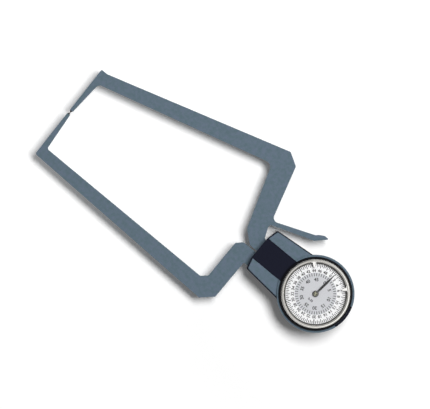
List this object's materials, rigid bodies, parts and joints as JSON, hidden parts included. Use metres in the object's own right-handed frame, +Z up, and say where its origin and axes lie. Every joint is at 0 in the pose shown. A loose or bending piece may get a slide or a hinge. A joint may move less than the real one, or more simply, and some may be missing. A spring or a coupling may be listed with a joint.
{
  "type": "dial thickness gauge",
  "caption": "Hand-held dial thickness gauge: two long flat arms meet at cone contacts, a thumb lever opens the sprung arm and a geared pointer reads the gap on a round dial.",
  "frame": {"origin": "on the dial axis, at the flat back face of the case", "axes": "+Z up out of the dial, +X from the dial axis towards the contacts, the fixed arm on the +Y side"},
  "size_m": [0.258, 0.127, 0.0217],
  "materials": {
    "case_black": "satin",
    "enamel_grey": "satin",
    "arm_enamel": "satin",
    "screw_dark": "satin",
    "steel": "satin",
    "contact_carbide": "satin",
    "bronze": "satin",
    "brass": "satin",
    "spring_steel": "satin",
    "spring_blue": "satin",
    "pointer_black": "satin",
    "hub_brass": "satin",
    "dial_white": "matte",
    "spacer_dark": "matte",
    "gasket_rubber": "matte",
    "crystal_clear": "gloss",
    "trim_nickel": "polished",
    "bezel_black": "satin",
    "marker_white": "gloss"
  },
  "bodies": {
    "case": {"rear_case": "case_black", "front_shell": "case_black", "cheek_fixed_side": "enamel_grey", "cheek_lever_side": "enamel_grey", "case_screws": "screw_dark", "fixed_arm": "arm_enamel", "fixed_arm_screws": "steel", "fixed_arm_dowels": "steel", "fixed_contact": "contact_carbide", "pivot_pin": "steel", "pivot_washers": "bronze", "stop_pin": "steel", "return_spring": "spring_steel", "spring_post": "steel", "movement_lower_plate": "brass", "movement_upper_plate": "brass", "plate_pillars": "steel", "plate_screws": "steel", "arbor_bushes": "bronze", "hairspring": "spring_blue", "hairspring_stud": "brass"},
    "moving_arm": {"movable_arm": "arm_enamel", "movable_contact": "contact_carbide", "pivot_bush": "bronze", "sector_gear": "brass", "sector_screws": "steel", "spring_pin": "steel"},
    "intermediate": {"intermediate_arbor": "steel", "intermediate_pinion": "steel", "intermediate_wheel": "brass"},
    "pointer_spindle": {"centre_arbor": "steel", "centre_pinion": "steel", "hairspring_collet": "brass", "pointer": "pointer_black", "pointer_hub": "hub_brass"},
    "bezel_ring": {"bezel": "bezel_black", "trim_ring": "trim_nickel", "crystal": "crystal_clear", "crystal_gasket": "gasket_rubber", "dial_spacer": "spacer_dark", "dial_face": "dial_white", "bezel_snap_ring": "spring_steel"},
    "low_marker": {"marker_low": "marker_white"},
    "high_marker": {"marker_high": "marker_white"}
  },
  "joints": [
    {"name": "arm_swing", "type": "hinge", "parent": "case", "child": "moving_arm", "pos_m": [0.0476, 0, 0.0085], "axis": [0, 0, -1], "range_deg": [0, 16], "stiffness_Nm_per_rad": 0.3, "springref_deg": -34.38, "deforming": ["return_spring"]},
    {"name": "intermediate_turn", "type": "hinge", "parent": "case", "child": "intermediate", "pos_m": [0.0136, 0, 0.009], "axis": [0, 0, -1], "range_deg": [-120, 0]},
    {"name": "pointer_turn", "type": "hinge", "parent": "case", "child": "pointer_spindle", "pos_m": [0, 0, 0.009], "axis": [0, 0, -1], "range_deg": [0, 360], "deforming": ["hairspring"]},
    {"name": "bezel_turn", "type": "hinge", "parent": "case", "child": "bezel_ring", "pos_m": [0, 0, 0.018], "axis": [0, 0, -1], "continuous": true},
    {"name": "marker_low_slide", "type": "hinge", "parent": "bezel_ring", "child": "low_marker", "pos_m": [0, 0, 0.021], "axis": [0, 0, -1], "range_deg": [-120, 35]},
    {"name": "marker_high_slide", "type": "hinge", "parent": "bezel_ring", "child": "high_marker", "pos_m": [0, 0, 0.021], "axis": [0, 0, -1], "range_deg": [-35, 120]}
  ],
  "couplings": [
    {"joint": "intermediate_turn", "follows": "arm_swing", "ratio": -7.5},
    {"joint": "pointer_turn", "follows": "arm_swing", "ratio": 22.5}
  ]
}
